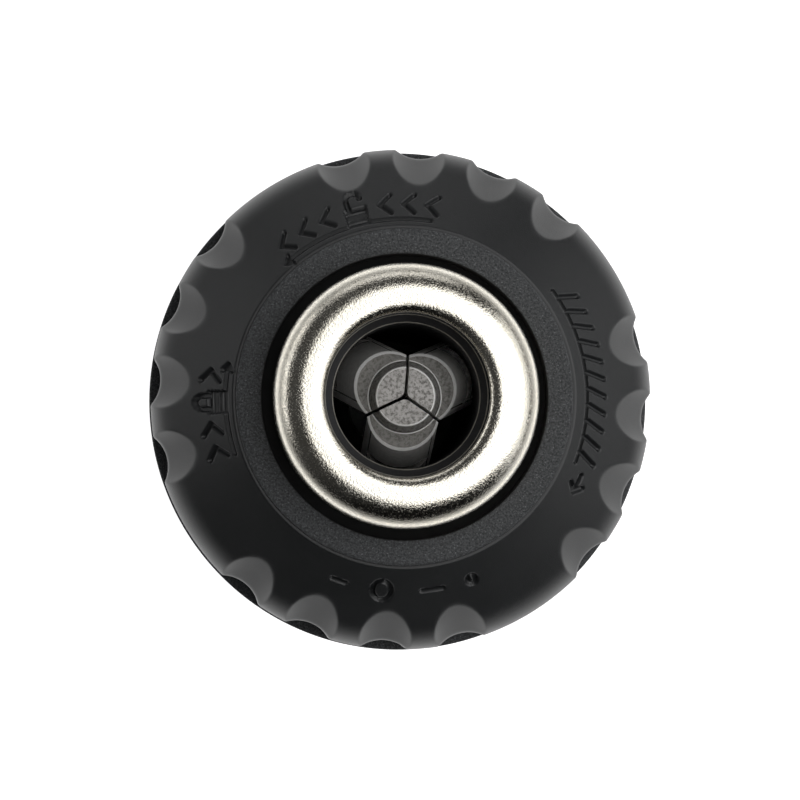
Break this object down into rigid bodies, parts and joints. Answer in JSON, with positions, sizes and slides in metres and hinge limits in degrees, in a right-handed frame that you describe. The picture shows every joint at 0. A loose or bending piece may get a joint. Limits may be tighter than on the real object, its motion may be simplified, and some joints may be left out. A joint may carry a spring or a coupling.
{
  "type": "drill chuck",
  "caption": "Keyless two-sleeve drill chuck whose three jaws slide on inclined passages as the front sleeve turns.",
  "frame": {"origin": "centre of the body's rear face, where the spindle's shoulder seats", "axes": "+Z along the chuck's axis, from the spindle end towards the nose; jaw_1 lies at 30 degrees from +X towards +Y"},
  "size_m": [0.0384, 0.0384, 0.057],
  "materials": {
    "body_steel": "turned steel with a dark phosphate finish",
    "nickel": "nickel plate over a fine peened surface",
    "jaw_steel": "hardened and ground, lightly oiled",
    "bearing_steel": "polished",
    "nut_steel": "oiled, dark",
    "cage": "stamped sheet",
    "hard_plastic": "glass-filled nylon with a spark-eroded texture",
    "soft_grip": "satin soft-touch overmould"
  },
  "bodies": {
    "body": {"chuck_body": "body_steel", "nose_cap": "nickel", "rear_race": "bearing_steel", "rear_sleeve": "hard_plastic"},
    "sleeve": {"front_sleeve": "hard_plastic", "front_sleeve_grip": "soft_grip", "nut_half_left": "nut_steel", "nut_half_right": "nut_steel", "nut_collar": "nut_steel", "front_race": "bearing_steel"},
    "bearing": {"ball_cage": "cage", "ball_01": "bearing_steel", "ball_02": "bearing_steel", "ball_03": "bearing_steel", "ball_04": "bearing_steel", "ball_05": "bearing_steel", "ball_06": "bearing_steel", "ball_07": "bearing_steel", "ball_08": "bearing_steel", "ball_09": "bearing_steel", "ball_10": "bearing_steel", "ball_11": "bearing_steel", "ball_12": "bearing_steel", "ball_13": "bearing_steel", "ball_14": "bearing_steel", "ball_15": "bearing_steel", "ball_16": "bearing_steel", "ball_17": "bearing_steel", "ball_18": "bearing_steel"},
    "jaw_1": {"jaw_1": "jaw_steel"},
    "jaw_2": {"jaw_2": "jaw_steel"},
    "jaw_3": {"jaw_3": "jaw_steel"}
  },
  "joints": [
    {"name": "sleeve_turn", "type": "hinge", "parent": "body", "child": "sleeve", "pos_m": [0, 0, 0.03], "axis": [0, 0, 1], "range_deg": [0, 2934]},
    {"name": "bearing_turn", "type": "hinge", "parent": "body", "child": "bearing", "pos_m": [0, 0, 0.02281], "axis": [0, 0, 1], "range_deg": [0, 1468]},
    {"name": "jaw_1_slide", "type": "slide", "parent": "body", "child": "jaw_1", "axis": [0.2532, 0.1462, -0.9563], "range_m": [0, 0.01631]},
    {"name": "jaw_2_slide", "type": "slide", "parent": "body", "child": "jaw_2", "axis": [-0.2532, 0.1462, -0.9563], "range_m": [0, 0.01631]},
    {"name": "jaw_3_slide", "type": "slide", "parent": "body", "child": "jaw_3", "axis": [0, -0.2924, -0.9563], "range_m": [0, 0.01631]}
  ],
  "couplings": [
    {"joint": "bearing_turn", "follows": "sleeve_turn", "ratio": 0.5},
    {"joint": "jaw_1_slide", "follows": "sleeve_turn", "m_per_rad": 0.00031831},
    {"joint": "jaw_2_slide", "follows": "sleeve_turn", "m_per_rad": 0.00031831},
    {"joint": "jaw_3_slide", "follows": "sleeve_turn", "m_per_rad": 0.00031831}
  ]
}
